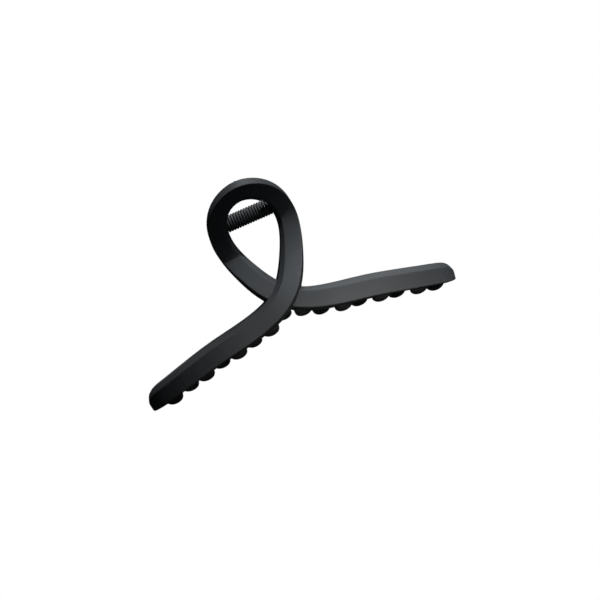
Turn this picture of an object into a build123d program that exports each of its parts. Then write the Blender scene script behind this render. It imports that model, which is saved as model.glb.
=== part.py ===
from build123d import *
import os
from math import cos, pi, radians, sin, sqrt

# A twisted-loop hair claw clip, shown closed.
#
# Frame: X runs along the hinge pin, +Z points up to the handles, and the front jaw is on the
# -Y side. The origin is the middle of the hinge pin. All lengths are in millimetres.
#
# Each jaw is one ribbon. Seen from the front it starts at one arm's tip, crosses the middle,
# climbs round a teardrop loop, which is the handle, crosses itself and runs out to the other tip.

# Ribbon, front view
LOOP_TOP = 9.8  # height of the ribbon's centre line at the loop's top
LOOP_HALF = 13.8  # greatest half width of the loop's centre line
LOOP_WIDEST = -5.3  # height of that widest place
CROSSING = -34.3  # height where the two strands cross
TIP_X = 64.8  # half length of the clip at the arms' centre line
TIP_Z = -52.4  # height of the arms' tips

# Ribbon section
LOOP_WIDTH = 7.9
ARM_WIDTH = 9.6
TIP_WIDTH = 8.2
THICK = 4.0
LOOP_BEVEL = 0.16  # sloped edge along the loop's opening, as a share of the ribbon's width
ARM_BEVEL = 0.27  # the same along an arm's upper side
BEVEL_DEPTH = 1.8
OVERLAY = 1.65  # how far the upper strand stands out, and the lower one in, at the crossing
OVERLAY_SPAN = 19  # length of ribbon over which a strand rises to that, each side
CAP = 5.0  # length of the rounded end of an arm
CAP_DROP = 0.6  # how far that end narrows from its upper side rather than evenly

# Side profile, as distance of the ribbon's middle from the plane between the jaws
NECK_Z = -6.5  # height of the waist just under the pin
NECK = 3.7
FLARE = 13.6  # how much further out the handle is at its top
FLARE_RISE = 20
FLARE_POWER = 1.6
BELLY = 16.5  # how much further out the jaw is at its fullest
BELLY_DROP = 42
TUCK = 0.0125  # how fast the arms curve back in below the belly
PLAN_HALF = 68  # half length of the oval that the jaws make, seen from above

# Teeth
TOOTH_PITCH = 15
TEETH = 8
FRONT_SHIFT = 4.8  # place of the front jaw's first tooth right of the middle
REAR_SHIFT = 2.7  # the same on the rear jaw, seen from its own outer side
TOOTH_ROOT = 7.2  # width where it leaves the arm
TOOTH_HEIGHT = 4.6
TOOTH_REACH = 1.4  # how far a tooth passes the middle plane
TOOTH_DROP = 5.3  # tooth's lowest centre below the arm's centre, in the clip's middle
TOOTH_FADE = 0.18  # share of that drop lost by the tips
TOOTH_LIFT = 1.4  # how far its end rises again
# share of the tooth's length, and the width and height there as shares of the root's
TOOTH_SECTIONS = (
    (0, 1, 1),
    (0.35, 1, 1),
    (0.65, 0.94, 0.88),
    (0.85, 0.76, 0.74),
    (0.95, 0.5, 0.52),
    (1, 0.2, 0.22),
)

# Hinge
PIN_R = 1.0
RUNNING_GAP = 0.05
LUG = 2.4  # thickness of a lug
LUG_GAP = 0.2  # between neighbouring lugs
LUG_START = 9.7  # inner face of the inner lug
LUG_R = 2.6
OUTER_LUG = LUG_START + LUG + LUG_GAP
HINGE_LINE = Location((0, 0, 0), (0, 90, 0))
PIN_DOME = 0.35

# Torsion spring
WIRE = 1.05
COIL_R = 2.85  # to the wire's centre
COIL_PITCH = 1.1
FULL_TURNS = 16
LEG_START_LEAN = 19  # how far a leg leans out where it leaves the coil, in degrees from upright
LEG_END_LEAN = 42
LEG_END = (9.4, 9.8)  # leg's end: distance from the middle plane, height

LEVEL_START = 0.5  # a second section this near the loop's top keeps the two strands in line there
CAP_ANGLES = (30, 55, 72, 83)
STATIONS = 24  # ribbon sections from the loop's top to an arm's cap


def side_distance(z):
    """Distance of the ribbon's middle surface from the plane between the jaws, at X = 0."""
    if z >= NECK_Z:
        return NECK + FLARE * ((z - NECK_Z) / FLARE_RISE) ** FLARE_POWER
    drop = NECK_Z - z
    if drop <= BELLY_DROP:
        return NECK + BELLY * sin(pi / 2 * drop / BELLY_DROP) ** 2
    return NECK + BELLY - TUCK * (drop - BELLY_DROP) ** 2


def out_distance(x, z):
    """The same distance anywhere: the side profile, drawn in towards the tips as an oval."""
    return side_distance(z) * sqrt(1 - (x / PLAN_HALF) ** 2)


# Half of the ribbon's centre line, seen from the front: the loop's top, down the right side,
# through the crossing and out to the left tip.
with BuildLine() as half_ribbon:
    Spline(
        (0, LOOP_TOP),
        (LOOP_HALF * 0.84, LOOP_TOP - 6.3),
        (LOOP_HALF, LOOP_WIDEST),
        (LOOP_HALF * 0.725, LOOP_WIDEST - 14),
        (0, CROSSING),
        (-TIP_X * 0.24, CROSSING - 6.9),
        (-TIP_X * 0.5, CROSSING - 10.1),
        (-TIP_X * 0.75, CROSSING - 13.9),
        (-TIP_X, TIP_Z),
        tangents=((1, 0), (-cos(radians(18)), -sin(radians(18)))),
        tangent_scalars=(1, 0.4),
    )
centre = half_ribbon.edge()
RIBBON = centre.length


def at_length(travel):
    """Point of the centre line at a distance along it from the loop's top, or its mirror image
    for a distance the other way."""
    point = centre.position_at(abs(travel), position_mode=PositionMode.LENGTH)
    return point if travel >= 0 else Vector(-point.X, point.Y)


def find_travel(x):
    """Distance along the ribbon to where it first passes X, past the loop's widest place."""
    low, high = RIBBON * 0.3, RIBBON
    for _ in range(40):
        middle = (low + high) / 2
        if at_length(middle).X > x:
            low = middle
        else:
            high = middle
    return low


CROSS_TRAVEL = find_travel(0)


def strand_point(travel, side, layer):
    """Centre of the front jaw's ribbon in space. side 1 starts down the right of the loop, and
    layer is 1 for the strand that passes in front at the crossing, -1 for the other."""
    flat = at_length(travel)
    away = min(1, abs(travel - CROSS_TRAVEL) / OVERLAY_SPAN)
    rise = layer * OVERLAY * cos(pi / 2 * away) ** 2
    return Vector(side * flat.X, -out_distance(flat.X, flat.Y) - rise, flat.Y)


def strand_plane(travel, side, layer):
    """Section plane of a strand: its x axis points to the opening or an arm's upper side, and
    its y axis points out of the clip."""
    step = 0.05
    here = strand_point(travel, side, layer)
    after = strand_point(min(travel + step, RIBBON), side, layer)
    before = strand_point(travel - step, side, layer)
    along = (after - before).normalized()
    slope_x = (out_distance(here.X + step, here.Z) - out_distance(here.X - step, here.Z)) / (2 * step)
    slope_z = (out_distance(here.X, here.Z + step) - out_distance(here.X, here.Z - step)) / (2 * step)
    facing = Vector(-slope_x, -1, -slope_z)
    facing = (facing - along * facing.dot(along)).normalized()
    across = along.cross(facing) * side
    return Plane(origin=here, x_dir=across, z_dir=across.cross(facing))


def arm_share(travel):
    """0 at the loop's top, rising to 1 at the crossing."""
    return sin(pi / 2 * min(1, travel / CROSS_TRAVEL)) ** 4


def ribbon_width(travel):
    """Width grows from the loop to the arms and narrows a little to the tips."""
    past = max(0, travel - CROSS_TRAVEL) / (RIBBON - CROSS_TRAVEL)
    grown = LOOP_WIDTH + (ARM_WIDTH - LOOP_WIDTH) * arm_share(travel)
    return grown - (ARM_WIDTH - TIP_WIDTH) * past**2


def ribbon_section(travel, side, layer, scale=1.0):
    """Face of the ribbon's section, with one wide bevel. A scaled one sinks to its lower side."""
    half = ribbon_width(travel) / 2 * scale
    deep = THICK / 2 * scale
    bevel = 2 * half * (LOOP_BEVEL + (ARM_BEVEL - LOOP_BEVEL) * arm_share(travel))
    flat = strand_plane(travel, side, layer)
    sink = ribbon_width(travel) / 2 * (1 - scale) * CAP_DROP
    with BuildSketch(flat) as section:
        with Locations((-sink, 0)):
            Polygon(
                (-half, deep),
                (half - bevel, deep),
                (half, deep - BEVEL_DEPTH * scale),
                (half, -deep),
                (-half, -deep),
                align=None,
            )
    return section.sketch.face()


def strand(side, layer):
    """One half of the ribbon as a solid, with a rounded end."""
    body_end = RIBBON - CAP
    travels = [body_end * i / STATIONS for i in range(STATIONS + 1)]
    travels.insert(1, LEVEL_START)
    sections = [ribbon_section(travel, side, layer) for travel in travels]
    for angle in CAP_ANGLES:
        reach = body_end + CAP * sin(radians(angle))
        sections.append(ribbon_section(reach, side, layer, cos(radians(angle)) ** 0.6))
    return loft(sections)


def tooth(x):
    """A finger from an arm's inner side to just past the middle plane, curved like a claw."""
    side = -1 if x > 0 else 1
    arm = strand_point(find_travel(-abs(x)), side, layer=side)
    slant = -arm.Y * abs(x) / (PLAN_HALF**2 - x**2)
    root = arm.Y + TOOTH_ROOT / 2 * slant
    low = arm.Z - TOOTH_DROP * (1 - TOOTH_FADE * abs(x) / TIP_X)
    with BuildLine(Plane.YZ.offset(x)) as spine:
        Spline(
            (root, low + 2.8),
            (root * 0.72, low + 0.3),
            (root * 0.36, low),
            (TOOTH_REACH, low + TOOTH_LIFT),
        )
    finger = []
    for share, width, height in TOOTH_SECTIONS:
        spot = spine.edge().position_at(share)
        with BuildSketch(Plane(origin=spot, x_dir=(1, 0, 0), z_dir=spine.edge() % share)) as slice_:
            Ellipse(TOOTH_ROOT / 2 * width, TOOTH_HEIGHT / 2 * height)
        finger.append(slice_.sketch.face())
    return loft(finger)


def lug(start):
    """Flat ear from the ribbon's back to the hinge line, its X faces at start and start + LUG."""
    with BuildSketch(Plane.YZ.offset(start)) as ear:
        Circle(LUG_R)
        Polygon(
            (0, LUG_R),
            (0, -LUG_R),
            (-side_distance(-LUG_R - 1), -LUG_R - 1),
            (-side_distance(0), 0),
            (-side_distance(LUG_R + 1), LUG_R + 1),
            align=None,
        )
    return extrude(ear.sketch, amount=LUG, dir=(1, 0, 0))


def jaw_pieces(shift):
    """Solids that make up one jaw moulding, outer face towards -Y, before it is bored."""
    teeth = [tooth(shift + TOOTH_PITCH * (k - TEETH // 2)) for k in range(TEETH)]
    strands = [strand(side=1, layer=1), strand(side=-1, layer=-1)]
    return strands + teeth + [lug(LUG_START), lug(-OUTER_LUG - LUG)]


front_solids = jaw_pieces(FRONT_SHIFT)
rear_solids = jaw_pieces(REAR_SHIFT)

with BuildPart() as front_jaw:
    add(front_solids)
    with Locations(HINGE_LINE):
        Hole(PIN_R)

# The rear jaw is made like the front one and turned half a turn about the upright axis
with BuildPart() as rear_jaw:
    add(rear_solids, rotation=(0, 0, 180))
    with Locations(HINGE_LINE):
        Hole(PIN_R + RUNNING_GAP)

# Steel pin through all four lugs, with slightly domed ends
PIN_HALF = OUTER_LUG + LUG
with BuildPart() as hinge_pin:
    with BuildSketch(Plane.YZ.offset(-PIN_HALF)):
        Circle(PIN_R)
    extrude(amount=2 * PIN_HALF)
    chamfer(hinge_pin.edges().filter_by(GeomType.CIRCLE), PIN_DOME)

# Close-wound spring on the pin. Its right leg rests on the back of the front handle and its
# left leg on the back of the rear one.
turns = FULL_TURNS + (180 - 2 * LEG_START_LEAN) / 360
coil_length = turns * COIL_PITCH
coil = Edge.make_helix(
    COIL_PITCH, coil_length, COIL_R, center=(-coil_length / 2, 0, 0), normal=(1, 0, 0), lefthand=True
)
coil = coil.rotate(Axis.X, -90 - LEG_START_LEAN)
end_lean = radians(LEG_END_LEAN)
with BuildPart() as torsion_spring:
    with BuildLine() as wire:
        add(coil)
        for end, side in ((1, 1), (0, -1)):
            away = coil.tangent_at(end) * side
            Spline(
                coil.position_at(end),
                (side * coil_length / 2, -side * LEG_END[0], LEG_END[1]),
                tangents=(away, (0, -side * sin(end_lean), cos(end_lean))),
            )
    with BuildSketch(Plane(origin=wire.wire() @ 0, z_dir=wire.wire() % 0)):
        Circle(WIRE / 2)
    sweep(path=wire.wire())

os.makedirs("parts", exist_ok=True)

front_jaw.part.label = "front_jaw"
export_step(front_jaw.part, "parts/front_jaw.step")

rear_jaw.part.label = "rear_jaw"
export_step(rear_jaw.part, "parts/rear_jaw.step")

hinge_pin.part.label = "hinge_pin"
export_step(hinge_pin.part, "parts/hinge_pin.step")

torsion_spring.part.label = "torsion_spring"
export_step(torsion_spring.part, "parts/torsion_spring.step")
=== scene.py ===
from math import cos, pi, radians, sin

import bmesh
import bpy
from mathutils import Matrix, Vector


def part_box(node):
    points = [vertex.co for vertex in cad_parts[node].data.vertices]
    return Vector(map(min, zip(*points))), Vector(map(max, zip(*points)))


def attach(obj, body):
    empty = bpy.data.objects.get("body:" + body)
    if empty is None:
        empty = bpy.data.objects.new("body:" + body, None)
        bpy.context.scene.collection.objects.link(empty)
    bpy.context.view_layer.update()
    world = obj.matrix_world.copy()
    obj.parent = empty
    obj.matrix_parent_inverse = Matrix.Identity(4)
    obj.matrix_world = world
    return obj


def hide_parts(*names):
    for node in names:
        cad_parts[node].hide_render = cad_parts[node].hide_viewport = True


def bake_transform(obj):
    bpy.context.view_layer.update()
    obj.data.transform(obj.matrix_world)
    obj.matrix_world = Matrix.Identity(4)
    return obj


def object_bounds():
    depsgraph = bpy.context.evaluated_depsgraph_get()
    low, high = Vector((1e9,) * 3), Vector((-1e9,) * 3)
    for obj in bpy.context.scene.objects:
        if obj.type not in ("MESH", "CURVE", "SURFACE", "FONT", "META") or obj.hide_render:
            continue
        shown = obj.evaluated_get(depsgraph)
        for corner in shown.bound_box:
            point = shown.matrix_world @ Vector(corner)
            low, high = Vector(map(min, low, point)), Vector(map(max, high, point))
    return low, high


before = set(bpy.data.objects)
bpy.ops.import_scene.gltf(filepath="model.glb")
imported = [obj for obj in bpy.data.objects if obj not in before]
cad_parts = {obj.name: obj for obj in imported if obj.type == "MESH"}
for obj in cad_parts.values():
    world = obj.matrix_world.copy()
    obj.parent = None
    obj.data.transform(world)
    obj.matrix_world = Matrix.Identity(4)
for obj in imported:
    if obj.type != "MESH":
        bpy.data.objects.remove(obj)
cad_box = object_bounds()

# The clip in metres, in the frame's own axes: X along the hinge pin, +Z up to the handles,
# front jaw on the -Y side.
MM = 0.001
VOXEL = 0.2 * MM  # detail kept when a jaw's CAD solid is melted into one smooth moulding
SMOOTH_STEPS = 8

# Spring. Its wire, turns and leg angles repeat the CAD's, and the coil's size and the legs'
# ends come from the CAD solid's box.
WIRE_R = 0.525 * MM
LEG_LEAN = radians(19)  # how far a leg leans out where it leaves the coil
LEG_END_LEAN = radians(42)
FULL_TURNS = 16
RING = 14  # points round the wire
STEPS_PER_TURN = 40
LEG_STEPS = 24

# Pin
PIN_RING = 48  # points round the pin
PIN_DOME = 0.35 * MM
DOME_STEP = 15  # degrees between points of a domed end

# Camera
CAMERA_DISTANCE = 1.0
CAMERA_AZIMUTH = radians(-2)
CAMERA_ELEVATION = radians(1)
CAMERA_ROLL = radians(23.6)
CAMERA_LENS = 152
CAMERA_SENSOR = 36
CAMERA_CLIP = 0.01
AIM = Vector((0.0054, 0, -0.0388))

# Studio
FLOOR_HALF = 6.0
FLOOR_GAP = 0.2 * MM  # how far the floor lies below the clip
WORLD_LEVEL = 0.002  # brightness of the surroundings, as the clip sees them
COOL = (0.94, 0.97, 1)
WARM = (1, 0.93, 0.8)
BEAM_SOURCE = 0.05  # radius of the lamp that makes a beam
LIT = Vector((0, 0, -0.02))  # what the softboxes point at
# name: place, size, power
SOFTBOXES = {
    "key_softbox": (Vector((0.46, -0.35, 0.79)), 0.035, 6.6),
    "top_softbox": (Vector((0.25, 0.12, 0.75)), 0.3, 3.2),
}
# name: place, target, cone in degrees, power, colour
BEAMS = {
    "tooth_fill": (Vector((0.15, -0.6, -0.045)), Vector((0.01, -0.008, -0.094)), 8.5, 32, WARM),
    "arm_fill": (Vector((0.38, -0.62, 0.28)), Vector((0.036, -0.018, -0.056)), 6.6, 30, COOL),
}


def new_object(name, mesh):
    """A smooth-shaded object from a mesh, linked into the scene."""
    obj = bpy.data.objects.new(name, mesh)
    bpy.context.scene.collection.objects.link(obj)
    for polygon in mesh.polygons:
        polygon.use_smooth = True
    return obj


def apply_modifiers(obj):
    """Replaces an object's mesh by the result of its modifiers."""
    bpy.context.view_layer.update()
    evaluated = obj.evaluated_get(bpy.context.evaluated_depsgraph_get())
    mesh = bpy.data.meshes.new_from_object(evaluated)
    obj.modifiers.clear()
    obj.data = mesh
    for polygon in mesh.polygons:
        polygon.use_smooth = True


def melted_jaw(name, node):
    """The jaw's solid remade as one moulding, its edges and inner corners softly rounded."""
    obj = new_object(name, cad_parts[node].data.copy())
    obj.data.materials.clear()
    remesh = obj.modifiers.new("melt", "REMESH")
    remesh.mode = "VOXEL"
    remesh.voxel_size = VOXEL
    soften = obj.modifiers.new("soften", "SMOOTH")
    soften.factor = 0.5
    soften.iterations = SMOOTH_STEPS
    apply_modifiers(obj)
    return obj


# ---------------------------------------------------------------- materials


class Nodes:
    """Shorthand for building a material's node tree."""

    def __init__(self, name):
        self.material = bpy.data.materials.new(name)
        self.material.use_nodes = True
        self.tree = self.material.node_tree
        self.shader = self.tree.nodes["Principled BSDF"]

    def add(self, kind, inputs=None, **settings):
        node = self.tree.nodes.new(kind)
        for key, value in settings.items():
            setattr(node, key, value)
        for key, value in (inputs or {}).items():
            if isinstance(value, bpy.types.NodeSocket):
                self.tree.links.new(value, node.inputs[key])
            else:
                node.inputs[key].default_value = value
        return node

    def set(self, key, value):
        if isinstance(value, bpy.types.NodeSocket):
            self.tree.links.new(value, self.shader.inputs[key])
        else:
            self.shader.inputs[key].default_value = value

    def noise(self, scale, detail=2.0, roughness=0.5):
        where = self.add("ShaderNodeTexCoord").outputs["Object"]
        node = self.add("ShaderNodeTexNoise", {"Vector": where, "Scale": scale})
        node.inputs["Detail"].default_value = detail
        node.inputs["Roughness"].default_value = roughness
        return node.outputs["Fac"]

    def span(self, value, low, high, to_low, to_high):
        node = self.add("ShaderNodeMapRange", {"Value": value})
        node.inputs["From Min"].default_value = low
        node.inputs["From Max"].default_value = high
        node.inputs["To Min"].default_value = to_low
        node.inputs["To Max"].default_value = to_high
        return node.outputs["Result"]

    def mix(self, share, first, second):
        node = self.add("ShaderNodeMix", data_type="RGBA")
        for index, value in ((0, share), (6, first), (7, second)):
            if isinstance(value, bpy.types.NodeSocket):
                self.tree.links.new(value, node.inputs[index])
            else:
                node.inputs[index].default_value = value
        return node.outputs[2]

    def bump(self, height, distance, strength=1.0, normal=None):
        inputs = {"Height": height, "Distance": distance, "Strength": strength}
        if normal is not None:
            inputs["Normal"] = normal
        return self.add("ShaderNodeBump", inputs).outputs["Normal"]


def grey(level, warm=0.0):
    return (level * (1 + warm), level, level * (1 - warm), 1)


def matte_plastic():
    """Black moulded plastic with a fine spark-eroded grain, cloudy sheen and a few pale scuffs."""
    n = Nodes("matte_black_plastic")
    cloud = n.noise(90, 3)
    grain = n.noise(5200, 2, 0.6)
    scuff_field = n.noise(420, 6, 0.7)
    scuff = n.span(scuff_field, 0.6, 0.72, 0.0, 1.0)
    base = n.mix(n.span(cloud, 0.3, 0.7, 0, 1), grey(0.036, -0.09), grey(0.042, -0.09))
    base = n.mix(n.span(scuff, 0, 1, 0, 0.1), base, grey(0.12, -0.03))
    n.set("Base Color", base)
    n.set("Roughness", n.span(cloud, 0.3, 0.7, 0.62, 0.68))
    n.set("Specular IOR Level", 0.35)
    n.set("Normal", n.bump(grain, 0.03 * MM, 0.5, n.bump(cloud, 0.15 * MM, 0.25)))
    return n.material


def spring_paint():
    """Thin matt black finish on spring wire, with rubbed streaks."""
    n = Nodes("black_spring_wire")
    streak = n.noise(700, 3)
    n.set("Base Color", n.mix(n.span(streak, 0.4, 0.7, 0, 1), grey(0.04, -0.04), grey(0.06, -0.04)))
    n.set("Roughness", n.span(streak, 0.3, 0.7, 0.5, 0.6))
    n.set("Specular IOR Level", 0.4)
    n.set("Normal", n.bump(streak, 0.02 * MM, 0.3))
    return n.material


def pin_steel():
    """Drawn steel with fine rings round its end."""
    n = Nodes("drawn_pin_steel")
    where = n.add("ShaderNodeTexCoord").outputs["Object"]
    wave = n.add("ShaderNodeTexWave", {"Vector": where, "Scale": 4000, "Distortion": 2.0})
    rings = wave.outputs["Fac"]
    n.set("Base Color", n.mix(rings, grey(0.38), grey(0.5)))
    n.set("Metallic", 1.0)
    n.set("Roughness", n.span(rings, 0, 1, 0.26, 0.36))
    n.set("Normal", n.bump(rings, 0.01 * MM, 0.3))
    return n.material


# ---------------------------------------------------------------- hinge hardware


def finished(name, mesh):
    """An object from a closed bmesh, its faces turned outwards."""
    bmesh.ops.recalc_face_normals(mesh, faces=mesh.faces[:])
    data = bpy.data.meshes.new(name)
    mesh.to_mesh(data)
    mesh.free()
    return new_object(name, data)


def tube(name, centres, radius):
    """A round wire through points, with flat ends."""
    mesh = bmesh.new()
    rings = []
    side = Vector((1, 0, 0))
    for i, centre in enumerate(centres):
        ahead = centres[min(i + 1, len(centres) - 1)] - centres[max(i - 1, 0)]
        along = ahead.normalized()
        side = (side - along * side.dot(along)).normalized()
        up = along.cross(side)
        turn = [2 * pi * k / RING for k in range(RING)]
        rings.append([mesh.verts.new(centre + (side * cos(a) + up * sin(a)) * radius) for a in turn])
    for first, second in zip(rings, rings[1:]):
        for k in range(RING):
            after = (k + 1) % RING
            mesh.faces.new((first[k], first[after], second[after], second[k]))
    mesh.faces.new(list(reversed(rings[0])))
    mesh.faces.new(rings[-1])
    return finished(name, mesh)


def bezier(points, share):
    """Point of a cubic curve with four control points."""
    a, b, c, d = points
    rest = 1 - share
    return a * rest**3 + b * 3 * rest**2 * share + c * 3 * rest * share**2 + d * share**3


def spring():
    """Close-wound coil on the pin, with a leg behind each handle."""
    low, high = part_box("torsion_spring")
    half_length = (high.x - low.x) / 2 - WIRE_R
    radius = -low.z - WIRE_R
    turns = FULL_TURNS + (pi - 2 * LEG_LEAN) / (2 * pi)
    start = -LEG_LEAN
    coil = []
    steps = int(turns * STEPS_PER_TURN)
    for i in range(steps + 1):
        share = i / steps
        angle = start - 2 * pi * turns * share
        x = half_length * (2 * share - 1)
        coil.append(Vector((x, radius * cos(angle), radius * sin(angle))))
    leg_y = high.y - WIRE_R * cos(LEG_END_LEAN)
    leg_z = high.z - WIRE_R * sin(LEG_END_LEAN)
    legs = []
    for side in (1, -1):
        root = coil[-1] if side == 1 else coil[0]
        tip = Vector((root.x, -side * leg_y, leg_z))
        reach = (tip - root).length / 3
        lean_out = Vector((0, -side * sin(LEG_LEAN), cos(LEG_LEAN)))
        end_out = Vector((0, -side * sin(LEG_END_LEAN), cos(LEG_END_LEAN)))
        controls = (root, root + lean_out * reach, tip - end_out * reach, tip)
        legs.append([bezier(controls, i / LEG_STEPS) for i in range(1, LEG_STEPS + 1)])
    path = list(reversed(legs[1])) + coil + legs[0]
    return tube("spring_coil_and_legs", path, WIRE_R), half_length


def pin():
    """Straight steel pin with domed ends."""
    low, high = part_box("hinge_pin")
    half, radius = high.x, high.z
    outline = []
    for angle in range(0, 91, DOME_STEP):
        x = half - PIN_DOME + PIN_DOME * sin(radians(angle))
        outline.append((x, radius - PIN_DOME + PIN_DOME * cos(radians(angle))))
    mesh = bmesh.new()
    profile = [(-x, r) for x, r in reversed(outline)] + outline
    rings = []
    for x, r in profile:
        turn = [2 * pi * k / PIN_RING for k in range(PIN_RING)]
        rings.append([mesh.verts.new((x, r * cos(a), r * sin(a))) for a in turn])
    for first, second in zip(rings, rings[1:]):
        for k in range(PIN_RING):
            after = (k + 1) % PIN_RING
            mesh.faces.new((first[k], first[after], second[after], second[k]))
    mesh.faces.new(rings[0])
    mesh.faces.new(list(reversed(rings[-1])))
    return finished("domed_hinge_pin", mesh)


# ---------------------------------------------------------------- stage, lights and camera


def stage_material():
    """Floor that is plain white to the camera and nearly black to the lights, so it shows no
    shadow and throws almost no light back at the clip."""
    n = Nodes("pale_floor")
    n.set("Base Color", grey(0.05))
    n.set("Roughness", 0.9)
    n.set("Specular IOR Level", 0.1)
    path = n.add("ShaderNodeLightPath").outputs["Is Camera Ray"]
    glow = n.add("ShaderNodeEmission", {"Color": grey(1.0), "Strength": 1.0}).outputs[0]
    blend = n.add("ShaderNodeMixShader", {0: path, 1: n.shader.outputs[0], 2: glow})
    output = n.tree.nodes["Material Output"]
    n.tree.links.new(blend.outputs[0], output.inputs["Surface"])
    return n.material


def add_stage():
    mesh = bpy.data.meshes.new("floor")
    z = cad_box[0][2] - FLOOR_GAP
    signs = ((-1, -1), (1, -1), (1, 1), (-1, 1))
    corners = [(x * FLOOR_HALF, y * FLOOR_HALF, z) for x, y in signs]
    mesh.from_pydata(corners, [], [(0, 1, 2, 3)])
    floor = new_object("floor", mesh)
    floor.data.materials.append(stage_material())


def add_world():
    """White to the camera, and a dim even light to everything else."""
    world = bpy.data.worlds.new("studio")
    world.use_nodes = True
    bpy.context.scene.world = world
    tree = world.node_tree
    back = tree.nodes["Background"]
    path = tree.nodes.new("ShaderNodeLightPath").outputs["Is Camera Ray"]
    span = tree.nodes.new("ShaderNodeMapRange")
    tree.links.new(path, span.inputs["Value"])
    span.inputs["To Min"].default_value = WORLD_LEVEL
    span.inputs["To Max"].default_value = 1.0
    back.inputs["Color"].default_value = (1, 1, 1, 1)
    tree.links.new(span.outputs["Result"], back.inputs["Strength"])


def aim(obj, target):
    obj.rotation_euler = (target - obj.location).to_track_quat("-Z", "Y").to_euler()


def add_light(name, light, place, target, power, colour):
    light.energy = power
    light.color = colour
    obj = bpy.data.objects.new(name, light)
    bpy.context.scene.collection.objects.link(obj)
    obj.location = place
    aim(obj, target)


def softbox(name, place, size, power):
    """A round, evenly glowing panel."""
    light = bpy.data.lights.new(name, "AREA")
    light.shape = "DISK"
    light.size = size
    add_light(name, light, place, LIT, power, COOL)


def beam(name, place, target, cone, power, colour):
    """A soft-edged round beam of light."""
    light = bpy.data.lights.new(name, "SPOT")
    light.spot_size = radians(cone)
    light.spot_blend = 1.0
    light.shadow_soft_size = BEAM_SOURCE
    add_light(name, light, place, target, power, colour)


def add_camera():
    data = bpy.data.cameras.new("camera")
    data.lens = CAMERA_LENS
    data.sensor_width = CAMERA_SENSOR
    data.clip_start = CAMERA_CLIP
    camera = bpy.data.objects.new("camera", data)
    bpy.context.scene.collection.objects.link(camera)
    flat = cos(CAMERA_ELEVATION)
    east, north = sin(CAMERA_AZIMUTH) * flat, -cos(CAMERA_AZIMUTH) * flat
    camera.location = AIM + Vector((east, north, sin(CAMERA_ELEVATION))) * CAMERA_DISTANCE
    look = (AIM - camera.location).to_track_quat("-Z", "Y").to_matrix()
    camera.rotation_euler = (look @ Matrix.Rotation(-CAMERA_ROLL, 3, "Z")).to_euler()
    bpy.context.scene.camera = camera


for name, (place, size, power) in SOFTBOXES.items():
    softbox(name, place, size, power)
for name, (place, target, cone, power, colour) in BEAMS.items():
    beam(name, place, target, cone, power, colour)
add_world()
add_stage()
add_camera()
bpy.context.scene.view_settings.view_transform = "Standard"

# ---------------------------------------------------------------- the clip

plastic = matte_plastic()
for name, node, body in (("front_jaw_moulding", "front_jaw", "front"),
                         ("rear_jaw_moulding", "rear_jaw", "rear")):
    jaw = melted_jaw(name, node)
    jaw.data.materials.append(plastic)
    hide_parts(node)
    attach(jaw, body)

coil, coil_half = spring()
coil.data.materials.append(spring_paint())
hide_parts("torsion_spring")
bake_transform(coil)

steel_pin = pin()
steel_pin.data.materials.append(pin_steel())
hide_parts("hinge_pin")
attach(steel_pin, "front")
